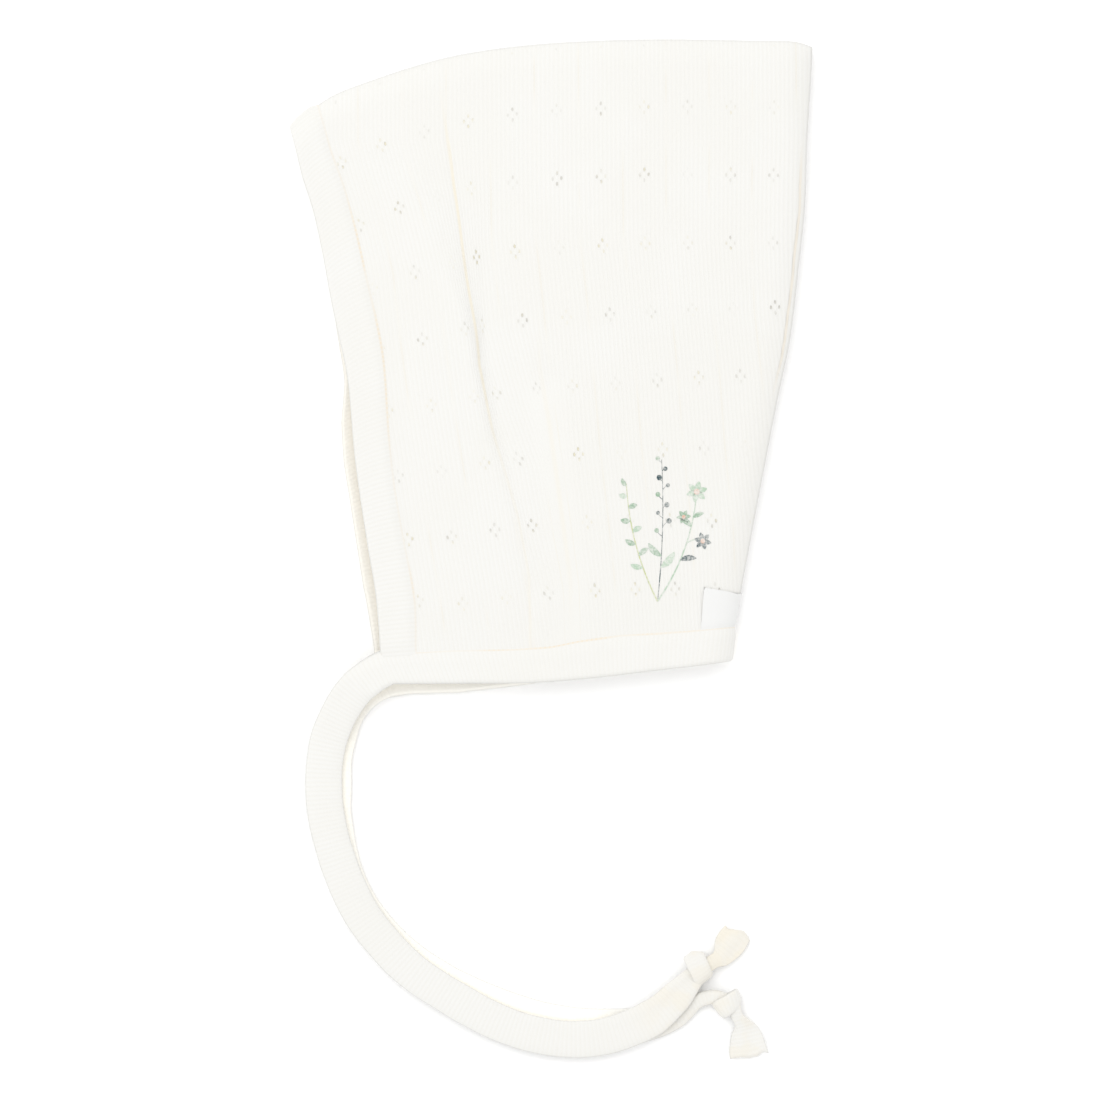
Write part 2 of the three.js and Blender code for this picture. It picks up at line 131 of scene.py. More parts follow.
# The neck binding's width: share from face to back, width in millimetres
NECK_WIDTHS = [
    (0, 10.2), (0.2, 10.9), (0.48, 11.2), (0.56, 12.4), (0.68, 12.9), (0.78, 12.0), (1, 11.2),
]

# The ties' routes from the neck binding's ends, in millimetres: x, y, and the height of the band's middle
NEAR_TIE_ROUTE = [
    (-51.1, -92.9, 9.6), (-53.8, -94.3, 9.55), (-56.8, -96.3, 9.1), (-59.8, -98.7, 8.2),
    (-62.6, -102.1, 7.0), (-65.3, -106.6, 5.8), (-68.5, -114.0, 4.5), (-70.1, -121.9, 3.9),
    (-70.4, -130.8, 3.8), (-69.5, -139.6, 3.8), (-66.3, -152.0, 3.8), (-62.8, -161.1, 3.8),
    (-58.4, -169.6, 3.8), (-52.2, -177.8, 3.8), (-42.9, -187.0, 3.8), (-29.7, -195.7, 3.8),
    (-20.4, -200.8, 3.8), (-11.0, -204.8, 3.8), (0.1, -207.4, 3.8), (9.0, -207.9, 3.8),
    (17.1, -206.9, 3.8), (25.2, -204.2, 3.8), (32.4, -200.4, 3.8), (38.0, -195.4, 3.8),
    (41.6, -191.4, 3.7), (44.2, -188.6, 3.5), (46.6, -186.5, 3.4),
]
FAR_TIE_ROUTE = [
    (-53.7, -96.8, 1.6), (-55.6, -97.8, 1.6), (-57.9, -99.6, 1.5), (-60.8, -102.8, 1.3),
    (-64.0, -108.6, 1.2), (-65.6, -113.6, 1.2), (-67.0, -120.7, 1.2), (-67.4, -129.4, 1.2),
    (-67.3, -138.0, 1.2), (-65.4, -150.6, 1.2), (-61.6, -162.0, 1.2), (-55.4, -171.8, 1.2),
    (-45.8, -181.8, 1.2), (-30.4, -191.7, 1.2), (-13.2, -199.0, 1.2), (-1.6, -202.4, 1.2),
    (12.0, -204.2, 1.2), (24.0, -204.0, 1.2), (33.4, -202.2, 1.2), (40.4, -199.0, 1.3),
    (44.6, -196.5, 1.6), (47.6, -195.3, 2.0), (50.6, -194.8, 2.6), (54.0, -195.6, 2.9),
]

# The ties' share of TIE_WIDTH and of TIE_THICKNESS: share along, width, thickness
NEAR_TIE_WIDTHS = [
    (0, 0.93, 1.0), (0.05, 1.0, 1.0), (0.9, 1.0, 1.0), (0.95, 0.85, 1.1), (0.985, 0.6, 1.3), (1, 0.4, 1.2),
]
FAR_TIE_WIDTHS = [(0, 0.95, 1.0), (0.86, 1.0, 1.0), (0.92, 0.8, 1.0), (0.955, 0.42, 1.25), (1, 0.36, 1.4)]

# The tails' two edges and their ragged ends, read off the photograph in steps of STEP from its upper left
NEAR_TAIL_EDGES = (
    [
        (699, 962), (707, 956), (713.5, 951.5), (714.3, 945.7), (715.6, 938.5), (720, 930.9),
        (725.1, 925.1),
    ],
    [
        (705, 975), (712, 970.5), (718.5, 966.6), (725.7, 965.4), (733.7, 960.6), (742.9, 952.2),
        (750.4, 939.5),
    ],
)
NEAR_TAIL_END = [(0, 0), (0.15, -0.5), (0.3, 0.1), (0.5, 1.0), (0.68, 1.3), (0.85, 0.6), (1, -0.3)]
FAR_TAIL_EDGES = (
    [
        (740.5, 1004), (742.4, 1013), (748.5, 1018.5), (755.4, 1023.8), (761.1, 1031.6), (764.6, 1041),
        (768.4, 1052),
    ],
    [
        (727, 1008), (731.2, 1018), (734.6, 1026), (731.6, 1033), (729.9, 1042), (729.0, 1051),
        (729.8, 1058.3),
    ],
)
FAR_TAIL_END = [(0, 0.2), (0.1, -0.4), (0.2, -0.1), (0.28, 0.6), (0.5, 0.7), (0.75, 0.1), (1, 0)]

# The way that the knit's wales lean, in millimetres: height on the hood, sideways shift
FRONT_LEAN = [
    (-87.5, 27.6), (-71.4, 25.4), (-53.4, 22.3), (-31.1, 18.9), (-11.6, 15.8), (9.2, 13.0),
    (28.7, 10.9), (39.6, 8.4), (50.4, 5.6), (58.2, 3.1), (69.7, 0.0), (110.0, 0.0),
]
BACK_LEAN = [
    (-84.4, 13.0), (-68.9, 11.8), (-48.1, 9.3), (-25.5, 6.5), (-3.8, 4.6), (17.3, 2.8), (39.6, 0.3),
    (58.2, 0.0), (110.0, -0.3),
]
BACK_TAPER = [
    (-84.4, 0.12), (-68.9, 0.11), (-48.1, 0.07), (-3.8, 0.057), (17.3, 0.07), (39.6, 0.036),
    (70.0, 0.02),
]
# How far the eyelet rows rise towards the back, in millimetres for 50 mm: height on the hood, rise
BACK_RISE = [(-40.0, 0.0), (-25.0, 2.0), (-2.0, 3.0), (18.0, 2.4), (39.0, 0.8), (60.0, 0.4)]
# How far the eyelet rows hang below even steps from the crown, in millimetres: height on the hood, drop
ROW_DROP = [(-72.0, 2.3), (-47.0, 1.9), (-25.5, 1.8), (-5.0, 1.6), (16.0, 1.1), (38.0, 0.5), (60.0, 0.0)]
# The same again for the eyelet column next to the front binding
FRONT_DROP = [
    (-72.0, -4.4), (-53.0, -3.0), (-34.0, -2.4), (-12.0, -2.6), (6.7, -1.3), (25.0, 0.9),
    (44.0, 1.1), (63.0, 0.8),
]
# How much of the two leans' difference the long crease takes, and how wide it is spread there
CREASE_TAKES = [(-71.4, 0.02), (-53.4, 0.15), (-31.1, 0.22), (-11.6, 0.6), (11.7, 1.0)]
CREASE_SPREAD = [(0.0, 3.2), (11.7, 3.2), (28.7, 7.0), (50.4, 11.0), (73.7, 14.0)]


def smooth(part):
    """Eases from 0 to 1."""
    part = min(max(part, 0.0), 1.0)
    return part * part * (3 - 2 * part)


def lerp(a, b, part):
    return a + (b - a) * part


def spot(across, down, height=0.0):
    """A place read off the photograph, in millimetres."""
    return Vector(((across - 551.3) * STEP, (367.7 - down) * STEP, height))


def read(rows, at, column=1):
    """A value from a table, with a straight line between its rows."""
    if at <= rows[0][0]:
        return rows[0][column]
    for low, high in zip(rows, rows[1:]):
        if at <= high[0]:
            return lerp(low[column], high[column], (at - low[0]) / (high[0] - low[0]))
    return rows[-1][column]


class Curve:
    """A smooth curve through points, read by its share of the length."""

    def __init__(self, points, samples=900):
        points = [Vector(p) for p in points]
        points = [points[0] * 2 - points[1]] + points + [points[-1] * 2 - points[-2]]
        line = []
        per = max(4, samples // (len(points) - 3))
        for p0, p1, p2, p3 in zip(points, points[1:], points[2:], points[3:]):
            steps = [0.0]
            for a, b in ((p0, p1), (p1, p2), (p2, p3)):
                steps.append(steps[-1] + max((b - a).length, 1e-6) ** 0.5)
            t0, t1, t2, t3 = steps
            for i in range(per):
                t = lerp(t1, t2, i / per)
                a1 = p0 * ((t1 - t) / (t1 - t0)) + p1 * ((t - t0) / (t1 - t0))
                a2 = p1 * ((t2 - t) / (t2 - t1)) + p2 * ((t - t1) / (t2 - t1))
                a3 = p2 * ((t3 - t) / (t3 - t2)) + p3 * ((t - t2) / (t3 - t2))
                b1 = a1 * ((t2 - t) / (t2 - t0)) + a2 * ((t - t0) / (t2 - t0))
                b2 = a2 * ((t3 - t) / (t3 - t1)) + a3 * ((t - t1) / (t3 - t1))
                line.append(b1 * ((t2 - t) / (t2 - t1)) + b2 * ((t - t1) / (t2 - t1)))
        line.append(points[-2])
        lengths = [0.0]
        for a, b in zip(line, line[1:]):
            lengths.append(lengths[-1] + (b - a).length)
        self.length = lengths[-1]
        self.points = []
        at = 0
        for i in range(samples + 1):
            want = self.length * i / samples
            while at < len(lengths) - 2 and lengths[at + 1] < want:
                at += 1
            part = (want - lengths[at]) / max(lengths[at + 1] - lengths[at], 1e-9)
            self.points.append(line[at].lerp(line[at + 1], min(max(part, 0.0), 1.0)))

    def at(self, share):
        where = min(max(share, 0.0), 1.0) * (len(self.points) - 1)
        low = min(int(where), len(self.points) - 2)
        return self.points[low].lerp(self.points[low + 1], where - low)

    def ahead(self, share):
        small = 0.002
        return (self.at(min(share + small, 1.0)) - self.at(max(share - small, 0.0))).normalized()


def outline(rows):
    return Curve([((x - 0.5) * CROWN_LENGTH, (0.5 - y) * HOOD_HEIGHT, 0) for x, y in rows])


crown = outline(CROWN_OUTLINE)
back = outline(BACK_OUTLINE)
face = outline(FACE_OUTLINE)
neck = outline(NECK_OUTLINE)
outline_points = crown.points + back.points + face.points + neck.points
middle_x = (min(p.x for p in outline_points) + max(p.x for p in outline_points)) / 2
middle_y = (min(p.y for p in outline_points) + max(p.y for p in outline_points)) / 2
SHIFT = Vector((-middle_x, -middle_y + NECK_STEP / 2, 0))


def plan(side, u, v):
    """A point of the folded outline: u from the face edge to the back, v from the crown to the neck."""
    across = crown.at(u).lerp(neck.at(u), v)
    down = face.at(v).lerp(back.at(v), u)
    corners = crown.at(0).lerp(crown.at(1), u).lerp(neck.at(0).lerp(neck.at(1), u), v)
    point = across + down - corners + SHIFT
    if side == "far":
        point.x -= FACE_STEP * read(FACE_STEP_SHARES, v) * (1 - u)
        point.y -= NECK_STEP * read(NECK_STEP_SHARES, u) * v ** 2
    return point


def row_width(v):
    return (face.at(v) - back.at(v)).length


def column_height(u):
    return (crown.at(u) - neck.at(u)).length


def fold_rise(run, radius):
    """0 at a fold's edge, 1 once the cloth lies away from it."""
    part = min(max(run / radius, 0.0), 1.0)
    return math.sqrt(1 - (1 - part) ** 2)


def far_height(u, v):
    """The lower layer lies on the ground and lifts into the bindings."""
    nearest = min(u * row_width(v), (1 - v) * column_height(u))
    lift = 1 - smooth((nearest - BINDING_WIDTH) / LIFT_LENGTH)
    return CLOTH / 2 + (BINDING_HALF - CLOTH / 2) * lift


def valley(u, v, rows, half_width):
    """A crease's share of its depth at a point: sharp at the bottom, soft at the shoulders."""
    away = abs(u - read(rows, v)) * row_width(v) / half_width
    return read(rows, v, 2) * math.exp(-1.6 * away) * (1 - smooth(away / 3.2))


def near_height(u, v):
    """The upper layer with its loft, long crease, pleat, gathers and slight lumps."""
    from_face = u * row_width(v)
    from_neck = (1 - v) * column_height(u)
    clear = smooth((min(from_face, from_neck) - BINDING_WIDTH) / LIFT_LENGTH)
    height = 3 * BINDING_HALF + MOUTH_GAP
    height += CREST_LOFT * math.sin(math.pi * u) * math.sin(math.pi * min(v * 1.05, 1)) * clear
    near_crease = max(clear, 0.25)
    height -= CREASE_DEPTH * valley(u, v, CREASE, CREASE_HALF_WIDTH) * near_crease
    height -= PLEAT_DEPTH * valley(u, v, PLEAT, PLEAT_HALF_WIDTH) * near_crease
    gathers = clear * (1 - smooth((from_neck - BINDING_WIDTH) / GATHER_LENGTH))
    height += GATHER_DEPTH * gathers * math.sin(2 * math.pi * GATHER_COUNT * u)
    lump = noise.noise(Vector((u * 4.5, v * 5.5, 1.7))) + 0.5 * noise.noise(Vector((u * 11, v * 12, 5.2)))
    return height + 0.3 * lump * clear


def surface(side, u, v):
    """A point of the cloth's middle surface, in millimetres."""
    radius = FOLD_RADIUS[side]
    rise = fold_rise((1 - u) * row_width(v), radius) * fold_rise(v * column_height(u), radius)
    height = far_height(u, v) if side == "far" else near_height(u, v)
    point = plan(side, u, v)
    point.z = lerp(FOLD_HEIGHT, height, rise)
    return point


def fold_run(share, radius, length, fold_share=0.07):
    """Distance in from a fold's edge: close steps round the fold, then even ones."""
    if share < fold_share:
        return radius * (1 - math.cos(share / fold_share * QUARTER))
    return lerp(radius, length, (share - fold_share) / (1 - fold_share))


def crown_height_at(x):
    """Height of the crown fold above a place across the hood."""
    line = crown.points
    x = min(max(x - SHIFT.x, line[0].x), line[-1].x)
    low, high = 0, len(line) - 1
    while high - low > 1:
        half = (low + high) // 2
        if line[half].x < x:
            low = half
        else:
            high = half
    return line[low].y + SHIFT.y


def knit_place(side, x, y, u, v):
    """Where a point lies in the knit: in eyelet columns across and eyelet rows down."""
    front = read(FRONT_LEAN, y)
    past_middle = max(x - BACK_PART, 0.0)
    behind = read(BACK_LEAN, y) - read(BACK_TAPER, y) * past_middle
    if side == "far":
        lean = lerp(front, behind, smooth(u * 1.6))
    else:
        width = row_width(v)
        takes = read(CREASE_TAKES, y)
        spread = read(CREASE_SPREAD, y)
        at_crease = 1 - smooth(((u - read(CREASE, v)) * width / spread + 1) / 2)
        at_pleat = 1 - smooth(((u - read(PLEAT, v)) * width / PLEAT_SPREAD + 1) / 2)
        lean = behind + (front - behind) * (takes * at_crease + (1 - takes) * at_pleat)
    by_face = 1 - smooth((u * row_width(v) - FIRST_COLUMN_WIDTH) / FIRST_COLUMN_WIDTH)
    down = crown_height_at(x) - y - read(ROW_DROP, y) - read(FRONT_DROP, y) * by_face
    down += read(BACK_RISE, y) * past_middle / 50
    return (x - lean - FIRST_COLUMN) / COLUMN_PITCH, down / ROW_PITCH


# Shader maths as Python expressions
class Socket:
    """Wraps a node's output so that sums on it add Math nodes."""

    def __init__(self, tree, out):
        self.tree = tree
        self.out = out

    def math(self, operation, *others, clamp=False):
        node = self.tree.nodes.new("ShaderNodeMath")
        node.operation = operation
        node.use_clamp = clamp
        for i, value in enumerate((self, *others)):
            plug(self.tree, value, node.inputs[i])
        return Socket(self.tree, node.outputs[0])

    def __add__(self, other):
        return self.math("ADD", other)

    def __radd__(self, other):
        return self.math("ADD", other)

    def __sub__(self, other):
        return self.math("SUBTRACT", other)

    def __rsub__(self, other):
        return (self * -1) + other

    def __mul__(self, other):
        return self.math("MULTIPLY", other)

    def __rmul__(self, other):
        return self.math("MULTIPLY", other)

    def __truediv__(self, other):
        return self.math("DIVIDE", other)

    def __pow__(self, other):
        return self.math("POWER", other)

    def __abs__(self):
        return self.math("ABSOLUTE")

    def wave(self):
        """A cosine with one crest at each whole number."""
        return (self * (2 * math.pi)).math("COSINE")

    def off_whole(self):
        """Signed distance from the nearest whole number."""
        return self - self.math("ROUND")

    def least(self, other):
        return self.math("MINIMUM", other)

    def most(self, other):
        return self.math("MAXIMUM", other)

    def within(self, inner, outer):
        """1 below inner, easing to 0 at outer."""
        node = self.tree.nodes.new("ShaderNodeMapRange")
        node.interpolation_type = "SMOOTHSTEP"
        for name, value in (("From Min", inner), ("From Max", outer), ("To Min", 1.0), ("To Max", 0.0)):
            node.inputs[name].default_value = value
        plug(self.tree, self, node.inputs["Value"])
        return Socket(self.tree, node.outputs[0])


def plug(tree, value, socket):
    if isinstance(value, Socket):
        tree.links.new(value.out, socket)
    else:
        socket.default_value = value


class Material:
    """A material being built: node() adds any node, its settings first."""

    def __init__(self, name):
        self.material = bpy.data.materials.new(name)
        self.material.use_nodes = True
        self.tree = self.material.node_tree
        self.shader = self.tree.nodes["Principled BSDF"]

    def node(self, kind, settings=None, output=0, **inputs):
        made = self.tree.nodes.new(kind)
        for key, value in (settings or {}).items():
            setattr(made, key, value)
        for key, value in inputs.items():
            plug(self.tree, value, made.inputs[key.replace("_", " ")])
        return Socket(self.tree, made.outputs[output])

    def uv(self, name):
        """A UV map's two coordinates."""
        place = self.node("ShaderNodeUVMap", {"uv_map": name})
        split = self.tree.nodes.new("ShaderNodeSeparateXYZ")
        self.tree.links.new(place.out, split.inputs[0])
        return Socket(self.tree, split.outputs[0]), Socket(self.tree, split.outputs[1])

    def place(self):
        """The point's own x, y and z."""
        split = self.tree.nodes.new("ShaderNodeSeparateXYZ")
        self.tree.links.new(self.node("ShaderNodeTexCoord", output=3).out, split.inputs[0])
        return tuple(Socket(self.tree, out) for out in split.outputs)

    def chance(self, first, second):
        """An even random value for each pair of whole numbers."""
        joined = self.node("ShaderNodeCombineXYZ", X=first.math("ROUND"), Y=second.math("ROUND"))
        return self.node("ShaderNodeTexWhiteNoise", {"noise_dimensions": "2D"}, Vector=joined)

    def noise(self, scale, detail=2.0):
        place = self.node("ShaderNodeTexCoord", output=3)
        settings = {"noise_dimensions": "3D"}
        return self.node("ShaderNodeTexNoise", settings, Vector=place, Scale=scale, Detail=detail)

    def mix(self, amount, first, second):
        made = self.tree.nodes.new("ShaderNodeMix")
        made.data_type = "RGBA"
        for socket, value in ((made.inputs[0], amount), (made.inputs[6], first), (made.inputs[7], second)):
            plug(self.tree, value, socket)
        return Socket(self.tree, made.outputs[2])

    def bump(self, height, distance):
        return self.node("ShaderNodeBump", Strength=1.0, Distance=distance, Height=height)

    def finish(self, color, normal=None, roughness=0.9, sheen=0.0):
        inputs = self.shader.inputs
        plug(self.tree, color, inputs["Base Color"])
        if normal is not None:
            plug(self.tree, normal, inputs["Normal"])
        plug(self.tree, roughness, inputs["Roughness"])
        inputs["Sheen Weight"].default_value = sheen
        inputs["Sheen Roughness"].default_value = 0.6
        inputs["Specular IOR Level"].default_value = 0.25
        return self.material


IVORY = (0.75, 0.745, 0.722, 1)
# The deeper ivory is painted shade between the wales, and also the faint clouds
IVORY_SHADE_AND_CLOUD = (0.73, 0.718, 0.678, 1)
# Lighter, warmer ivories: painted light that lifts the shade on the cloth under the near side
IVORY_UNDERSIDE_PAINTED_LIGHT = (0.88, 0.84, 0.755, 1)
IVORY_SHELTERED_PAINTED_LIGHT = (0.98, 0.95, 0.875, 1)
DROP_LINE_SHADE_BEIGE = (0.72, 0.67, 0.56, 1)
FOLD_SHADE_YELLOW = (0.765, 0.71, 0.59, 1)
SEAM_SHADE_ORANGE = (0.745, 0.65, 0.51, 1)
RIM_SHADE_GREY = (0.60, 0.60, 0.575, 1)
EYELET_SHADE_GREY = (0.50, 0.48, 0.42, 1)
EYELET_SHADE_YELLOW = (0.66, 0.60, 0.40, 1)


def knit_height(wale, course):
    """Loops of the fine rib: rounded wales with a small chevron at each stitch."""
    rib = wale.wave() * 0.5 + 0.5
    chevron = (course + abs(wale.off_whole()) * 0.9).wave() * 0.5 + 0.5
    return rib ** 0.7 + chevron * rib * 0.35


def stitches(along, pitch):
    """1 at each needle hole along a seam, 0 between them."""
    return abs((along / pitch).off_whole()).within(0.1, 0.3)


def cloth_tone(m, height, depth):
    """Ivory yarn with painted shade between the wales, and faint clouds."""
    clouds = m.noise(38.0, 3.0)
    # painted shade: darker between the wales, where the rib's grooves fall into shade
    tone = m.mix((1 - height) * depth, IVORY, IVORY_SHADE_AND_CLOUD)
    return m.mix(clouds.within(0.62, 0.35) * 0.3, tone, IVORY_SHADE_AND_CLOUD)


def eyelets(column, row):
    """Distance to the nearest of an eyelet diamond's four upright slits, in millimetres."""
    du = abs(column.off_whole()) * COLUMN_PITCH
    dv = abs(row.off_whole()) * ROW_PITCH
    side = ((du - 1.35) ** 2 + (dv * 0.55) ** 2) ** 0.5
    tip = (du ** 2 + ((dv - 1.65) * 0.55) ** 2) ** 0.5
    return side.least(tip)


def pointelle_material():
    """Fine rib with eyelet diamonds, drop-needle lines and seams, with painted shade in its creases, grooves,
    eyelets and back seam and along its rims.
    """
    m = Material("pointelle_rib")
    column, row = m.uv("knit")
    from_crease, from_pleat = m.uv("creases")
    from_back, down = m.uv("backs")
    low = (0.5 - down).within(-0.06, 0.0)
    gathered = abs(from_pleat).within(2.5, 7.0) * low
    height = knit_height(column * RIBS_PER_COLUMN, row * COURSES_PER_ROW)
    height = height * (1 - gathered * 0.75) + gathered * 0.6
    tone = cloth_tone(m, height, 0.5)

    slit = eyelets(column, row)
    in_pleat = abs(from_pleat).within(3.4, 4.6) * low
    uneven = m.noise(480.0, 0.0).within(0.66, 0.42) * 0.55 + 0.45
    on_fold = down.within(0.006, 0.012)
    open_here = (m.chance(column, row) * 0.75 + 0.2) * (1 - in_pleat * 0.9) * uneven * (1 - on_fold)
    hole = slit.within(0.14, 0.46) * open_here
    ring = slit.within(0.4, 1.0) * open_here
    patchy = m.noise(55.0, 1.0).within(0.66, 0.4)
    line = abs((column + 0.5).off_whole() * COLUMN_PITCH).within(0.12, 0.42) * patchy

    # painted shade: a pale yellow line along the long crease, and a fainter one along the pleat
    strongest = abs(down - 0.36).within(0.14, 0.34).most((0.3 - down).within(-0.25, -0.05) * 0.3)
    crease = abs(from_crease + 0.2).within(0.12, 0.75) * strongest
    lower = abs(down - 0.68).within(0.06, 0.28)
    pleat = abs(from_pleat).within(0.1, 1.2) * lower
    # painted shade along the rolled back seam, which also gets a bumped groove
    seam_wave = m.noise(110.0, 1.0) * 0.8
    rolled = abs(down - 0.36).within(0.13, 0.22)
    back_seam = abs(from_back - 1.2 - seam_wave).within(0.12, 0.6) * rolled

    # painted shade in the drop-needle grooves
    tone = m.mix(line * 0.3, tone, DROP_LINE_SHADE_BEIGE)
    tone = m.mix(crease * 0.8 + pleat * 0.25, tone, FOLD_SHADE_YELLOW)
    tone = m.mix(back_seam * 0.45, tone, SEAM_SHADE_ORANGE)
    # painted shade: a grey outline along the back edge and the crown fold
    rim_shade = from_back.within(0.15, 0.7).most(down.within(0.001, 0.004) * 0.6)
    tone = m.mix(rim_shade * 0.6, tone, RIM_SHADE_GREY)
    # painted shadow in the open eyelets, where the shaded layer below shows
    shade = m.mix(m.noise(75.0, 0.0).within(0.6, 0.44), EYELET_SHADE_GREY, EYELET_SHADE_YELLOW)
    tone = m.mix(hole * 0.9, tone, shade)
    fuzz = m.noise(2600.0, 2.0)
    relief = height * 0.4 + ring * 0.3 - hole * 1.6 - line * (1 - gathered) * 0.5
    relief = relief - back_seam * 1.2 + fuzz * 0.2
    return m.finish(tone, m.bump(relief, 0.00018), 0.92, sheen=0.1)


def binding_material(
    name, free_from=None, below=IVORY_UNDERSIDE_PAINTED_LIGHT, inner_rim=2.0, fold_shade_from=None, fold_shade_amount=0.12,
):
    """Fine rib whose wales run across the strip, with its stitched edge and painted shade along the seam and
    rims. Under the near side it is painted lighter and warmer to lift the shade there, and towards a tie's
    end it can get painted fold shade.
    """
    m = Material(name)
    along, across = m.uv("knit")
    height = knit_height(along, across * 13)
    tone = cloth_tone(m, height, 0.55)
    if free_from is not None:
        _, _, lift = m.place()
        # painted light: below 3 to 6 mm, under the near side, the strip is painted lighter and warmer to lift
        # its shade, less at the outer edge
        under = lift.within(0.003, 0.006) * along.within(free_from - 14, free_from)
        tone = m.mix(under * (1 - across.within(0.02, 0.24) * 0.4), tone, below)
    if fold_shade_from is not None:
        # painted fold shade in yellow blotches, growing over 16 ribs past the given start
        fold_shade_blotches = m.noise(130.0, 2.0).within(0.6, 0.42) * 0.28 + fold_shade_amount
        tone = m.mix(fold_shade_blotches * (fold_shade_from - along).within(-16.0, 0.0), tone, FOLD_SHADE_YELLOW)
    # painted shade: a grey outline along both edges of the strip
    rim_shade = across.within(0.006, 0.035).most((inner_rim - across).within(0.006, 0.035))
    tone = m.mix(rim_shade * 0.55, tone, RIM_SHADE_GREY)
    # painted shade along the stitched seam line, darker at the needle holes
    edge = abs(across - SEAM_SHARE).within(0.008, 0.04)
    patchy = m.noise(45.0, 1.0).within(0.62, 0.42)
    dots = stitches(along, 1.0) * 0.35 + 0.25
    tone = m.mix(edge * (dots * patchy + 0.2), tone, SEAM_SHADE_ORANGE)
    fuzz = m.noise(2600.0, 2.0)
    relief = height * 0.3 + fuzz * 0.2
    return m.finish(tone, m.bump(relief, 0.00018), 0.92, sheen=0.1)


def label_material():
    """Close woven white tape."""
    m = Material("label_tape")
    warp, weft = m.uv("knit")
    weave = warp.wave() * weft.wave() * 0.5 + 0.5
    tone = m.mix(weave * 0.3, (0.76, 0.76, 0.75, 1), (0.73, 0.73, 0.715, 1))
    return m.finish(tone, m.bump(weave, 0.00004), 0.6)


def print_material():
    """Ink on the rib: dense on the wales, with the cloth showing through."""
    m = Material("print_ink")
    column, row = m.uv("knit")
    height = knit_height(column * RIBS_PER_COLUMN, row * COURSES_PER_ROW)
    ink = m.node("ShaderNodeVertexColor", {"layer_name": "ink"})
    grain = m.noise(1500.0, 2.0).within(0.62, 0.38)
    wash = m.noise(260.0, 1.0).within(0.68, 0.36)
    cover = (0.3 + grain * 0.4 + wash * 0.35).least(1.0)
    tone = m.mix(cover, cloth_tone(m, height, 0.5), ink)
    return m.finish(tone, m.bump(height * 0.5, 0.00018), 0.92)


def grid_mesh(columns, rows, place, uv, closed=False, seal=False):
    """A bmesh grid whose points are moved to place(s, t), with uv(s, t) as its knit map."""
    bm = bmesh.new()
    bmesh.ops.create_grid(bm, x_segments=columns, y_segments=rows, size=0.5)
    layer = bm.loops.layers.uv.new("knit")
    shares = {vert: (vert.co.x + 0.5, vert.co.y + 0.5) for vert in bm.verts}
    for face_made in bm.faces:
        for loop in face_made.loops:
            loop[layer].uv = uv(*shares[loop.vert])
    for vert, (s, t) in shares.items():
        vert.co = place(s, t) * MM
    if closed:
        bmesh.ops.remove_doubles(bm, verts=bm.verts, dist=1e-6)
    if seal:
        for edge in bm.edges:
            edge.smooth = not edge.is_boundary
        bmesh.ops.holes_fill(bm, edges=[e for e in bm.edges if e.is_boundary], sides=0)
        bmesh.ops.recalc_face_normals(bm, faces=bm.faces)
    return bm


def make_object(name, bm, material):
    mesh = bpy.data.meshes.new(name)
    bm.to_mesh(mesh)
    bm.free()
    for polygon in mesh.polygons:
        polygon.use_smooth = polygon.loop_total <= 4
    mesh.materials.append(material)
    made = bpy.data.objects.new(name, mesh)
    bpy.context.collection.objects.link(made)
    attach(made, "root")
    return made


def hood_maps(side, u, v, point):
    """What the hood's material reads at a point: the knit, and distances from creases and edges."""
    width = row_width(v)
    far_off = 0.0 if side == "near" else 99.0
    return {
        "knit": knit_place(side, point.x, point.y, u, v),
        "creases": ((u - read(CREASE, v)) * width + far_off, (u - read(PLEAT, v)) * width + far_off),
        "backs": ((1 - u) * width + far_off, v),
    }


def hood_layer(bm, layers, side, columns, rows):
    """Adds one layer of the hood as a grid from the back seam to the face, and from the crown down."""
    radius = FOLD_RADIUS[side]
    made = bmesh.ops.create_grid(bm, x_segments=columns, y_segments=rows, size=0.5)["verts"]
    maps = {}
    for vert in made:
        s, t = vert.co.x + 0.5, vert.co.y + 0.5
        width = row_width(t)
        u = 1 - fold_run(s, radius, width - CLOTH_IN_BINDING) / width
        height = column_height(u)
        v = fold_run(t, radius, height - CLOTH_IN_BINDING) / height
        point = surface(side, u, v)
        maps[vert] = hood_maps(side, u, v, point)
        vert.co = point * MM
    faces = {f for vert in made for f in vert.link_faces}
    for face_made in faces:
        for loop in face_made.loops:
            for name, layer in layers.items():
                loop[layer].uv = maps[loop.vert][name]
    bm.normal_update()
    facing = sum(f.normal.z * f.calc_area() for f in faces)
    if (facing > 0) != (side == "near"):
        bmesh.ops.reverse_faces(bm, faces=list(faces))


def make_hood(material):
    bm = bmesh.new()
    layers = {name: bm.loops.layers.uv.new(name) for name in ("knit", "creases", "backs")}
    hood_layer(bm, layers, "near", 120, 150)
    hood_layer(bm, layers, "far", 120, 150)
    bmesh.ops.remove_doubles(bm, verts=bm.verts, dist=2e-6)
    hood = make_object("hood_cloth", bm, material)
    wall = hood.modifiers.new("wall", "SOLIDIFY")
    wall.thickness = CLOTH * MM
    wall.offset = 0
    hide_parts("hood")
    return hood


def off_surface(point_at, station, across, offset, flip=1):
    small = 0.2
    along = point_at(station + small, across) - point_at(station - small, across)
    inward = point_at(station, across + small) - point_at(station, across)
    normal = along.cross(inward).normalized()
    return point_at(station, across) + normal * offset * flip


def signed_run(station):
    """Distance from a fold's edge, given an arc length from it: below 0 near, above 0 on the far layer."""
    radius = FOLD_RADIUS["near" if station < 0 else "far"]
    length = abs(station)
    quarter = radius * QUARTER
    return radius * (1 - math.cos(length / radius)) if length < quarter else radius + length - quarter


